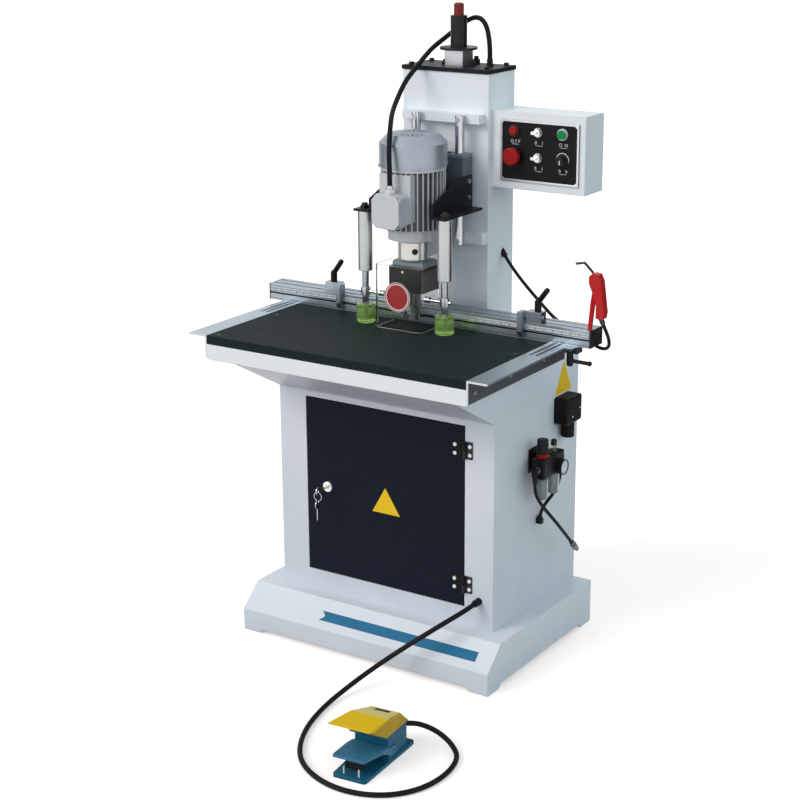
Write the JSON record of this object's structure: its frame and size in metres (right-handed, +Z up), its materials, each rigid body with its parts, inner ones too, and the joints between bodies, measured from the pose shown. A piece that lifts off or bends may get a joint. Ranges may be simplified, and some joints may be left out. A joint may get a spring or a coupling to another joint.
{
  "type": "hinge boring machine",
  "caption": "Floor-standing pneumatic hinge boring machine with motor head, clear guard, stop fence, control box, air unit and foot pedal.",
  "frame": {"origin": "on the floor at the middle of the plinth", "axes": "+X to the operator's right, +Y to the back, +Z up"},
  "size_m": [1.0397, 1.1595, 1.678],
  "materials": {
    "pale_paint": "satin",
    "dark_paint": "satin",
    "black_paint": "satin",
    "black_board": "matt",
    "bare_aluminium": "satin",
    "bright_chrome": "polished",
    "plain_steel": "brushed",
    "olive_paint": "satin",
    "silver_paint": "satin",
    "black_plastic": "matt",
    "red_plastic": "gloss",
    "green_plastic": "gloss",
    "white_plastic": "gloss",
    "clear_plastic": "clear",
    "green_clear": "clear",
    "pedal_blue": "gloss",
    "hood_yellow": "gloss",
    "cord_black": "matt"
  },
  "bodies": {
    "frame": {"plinth": "pale_paint", "cabinet": "pale_paint", "table_tray": "pale_paint", "table_top": "black_board", "side_rails": "bare_aluminium", "column": "pale_paint", "column_top_plate": "black_paint", "guide_rods": "bright_chrome", "frame_bolts": "plain_steel", "feed_cylinder": "bare_aluminium", "control_box": "pale_paint", "control_panel": "black_plastic", "panel_trim": "bare_aluminium", "indicator_lamp": "red_plastic", "inlet_box": "black_plastic", "frl_body": "black_plastic", "frl_bowls": "clear_plastic", "pressure_gauge": "white_plastic", "pedal_base": "pedal_blue", "pedal_hood": "hood_yellow", "hose_glands": "black_plastic", "motor_cable": "cord_black", "pedal_cord": "cord_black", "supply_hose": "cord_black", "supply_coupler": "plain_steel", "outlet_hose": "cord_black", "gun_hose": "cord_black"},
    "head": {"carriage": "olive_paint", "head_bracket": "black_paint", "motor_housing": "silver_paint", "fan_cowl": "silver_paint", "terminal_box": "silver_paint", "spindle_collar": "plain_steel", "gearbox": "olive_paint", "hold_down_barrels": "bare_aluminium"},
    "spindle": {"rotor": "plain_steel", "hinge_bit": "plain_steel"},
    "left_spindle": {"side_spindle_left": "plain_steel"},
    "right_spindle": {"side_spindle_right": "plain_steel"},
    "hold_down": {"hold_down_rods": "bright_chrome", "hold_down_feet": "green_clear", "drill_guard": "clear_plastic"},
    "door_leaf": {"door": "dark_paint"},
    "key": {"door_key": "bright_chrome"},
    "fence": {"fence_rail": "bare_aluminium", "blow_gun": "red_plastic"},
    "left_stop": {"stop_left": "bare_aluminium"},
    "right_stop": {"stop_right": "bare_aluminium"},
    "left_stop_lever": {"stop_lever_left": "black_plastic"},
    "right_stop_lever": {"stop_lever_right": "black_plastic"},
    "fence_clamp": {"fence_lever": "black_plastic"},
    "gun_trigger": {"gun_lever": "red_plastic"},
    "emergency_stop": {"estop": "red_plastic"},
    "start": {"start_button": "green_plastic"},
    "upper_selector": {"selector_upper": "bright_chrome"},
    "lower_selector": {"selector_lower": "bright_chrome"},
    "timer": {"timer_knob": "black_plastic"},
    "treadle": {"pedal_treadle": "pedal_blue"},
    "regulator": {"regulator_knob": "black_plastic"},
    "adjuster": {"depth_adjuster": "black_paint"}
  },
  "joints": [
    {"name": "head_feed", "type": "slide", "parent": "frame", "child": "head", "axis": [0, 0, 1], "range_m": [0, 0.065], "deforming": ["motor_cable"]},
    {"name": "hold_down_travel", "type": "slide", "parent": "head", "child": "hold_down", "axis": [0, 0, 1], "range_m": [0, 0.04]},
    {"name": "spindle_turn", "type": "hinge", "parent": "head", "child": "spindle", "pos_m": [0, -0.0145, 1], "axis": [0, 0, 1], "continuous": true},
    {"name": "left_spindle_turn", "type": "hinge", "parent": "head", "child": "left_spindle", "pos_m": [-0.0225, -0.024, 1], "axis": [0, 0, 1], "continuous": true},
    {"name": "right_spindle_turn", "type": "hinge", "parent": "head", "child": "right_spindle", "pos_m": [0.0225, -0.024, 1], "axis": [0, 0, 1], "continuous": true},
    {"name": "door_hinge", "type": "hinge", "parent": "frame", "child": "door_leaf", "pos_m": [0.2498, -0.168, 0.43], "axis": [0, 0, 1], "range_deg": [0, 90]},
    {"name": "key_turn", "type": "hinge", "parent": "door_leaf", "child": "key", "pos_m": [-0.181, -0.163, 0.422], "axis": [0, -1, 0], "range_deg": [0, 90]},
    {"name": "fence_travel", "type": "slide", "parent": "frame", "child": "fence", "axis": [0, 1, 0], "range_m": [-0.004, 0.05], "deforming": ["gun_hose"]},
    {"name": "left_stop_travel", "type": "slide", "parent": "fence", "child": "left_stop", "axis": [1, 0, 0], "range_m": [-0.18, 0.12]},
    {"name": "right_stop_travel", "type": "slide", "parent": "fence", "child": "right_stop", "axis": [1, 0, 0], "range_m": [-0.18, 0.05]},
    {"name": "left_stop_lever_turn", "type": "hinge", "parent": "left_stop", "child": "left_stop_lever", "pos_m": [-0.283, 0.025, 0.96], "axis": [0, 0, 1], "range_deg": [-90, 90]},
    {"name": "right_stop_lever_turn", "type": "hinge", "parent": "right_stop", "child": "right_stop_lever", "pos_m": [0.349, 0.025, 0.96], "axis": [0, 0, 1], "range_deg": [-90, 90]},
    {"name": "fence_clamp_turn", "type": "hinge", "parent": "fence", "child": "fence_clamp", "pos_m": [0.46, -0.008, 0.841], "axis": [0, 0, 1], "range_deg": [-60, 60]},
    {"name": "gun_trigger_turn", "type": "hinge", "parent": "fence", "child": "gun_trigger", "pos_m": [0.514, 0.025, 1.039], "axis": [0, -1, 0], "range_deg": [0, 6], "stiffness_Nm_per_rad": 3, "springref_deg": -5.73},
    {"name": "emergency_stop_press", "type": "slide", "parent": "frame", "child": "emergency_stop", "axis": [0, 1, 0], "range_m": [0, 0.005]},
    {"name": "start_press", "type": "slide", "parent": "frame", "child": "start", "axis": [0, 1, 0], "range_m": [0, 0.003], "stiffness_N_per_m": 800, "springref_m": -0.002},
    {"name": "upper_selector_turn", "type": "hinge", "parent": "frame", "child": "upper_selector", "pos_m": [0.2705, 0.15, 1.368], "axis": [0, 1, 0], "range_deg": [-45, 45]},
    {"name": "lower_selector_turn", "type": "hinge", "parent": "frame", "child": "lower_selector", "pos_m": [0.2705, 0.15, 1.303], "axis": [0, 1, 0], "range_deg": [-45, 45]},
    {"name": "timer_turn", "type": "hinge", "parent": "frame", "child": "timer", "pos_m": [0.3405, 0.15, 1.303], "axis": [0, 1, 0], "range_deg": [-140, 140]},
    {"name": "treadle_press", "type": "hinge", "parent": "frame", "child": "treadle", "pos_m": [0.32284, -0.68688, 0.028], "axis": [0.9957, 0.0924, 0], "range_deg": [0, 5], "stiffness_Nm_per_rad": 10, "springref_deg": -17.19},
    {"name": "regulator_turn", "type": "hinge", "parent": "frame", "child": "regulator", "pos_m": [0.375, 0.016, 0.4], "axis": [0, 0, 1], "range_deg": [-180, 180]},
    {"name": "adjuster_turn", "type": "hinge", "parent": "frame", "child": "adjuster", "pos_m": [0, 0.208, 1.6], "axis": [0, 0, 1], "range_deg": [-180, 180]}
  ],
  "couplings": [
    {"joint": "left_spindle_turn", "follows": "spindle_turn", "ratio": -1},
    {"joint": "right_spindle_turn", "follows": "spindle_turn", "ratio": -1}
  ]
}
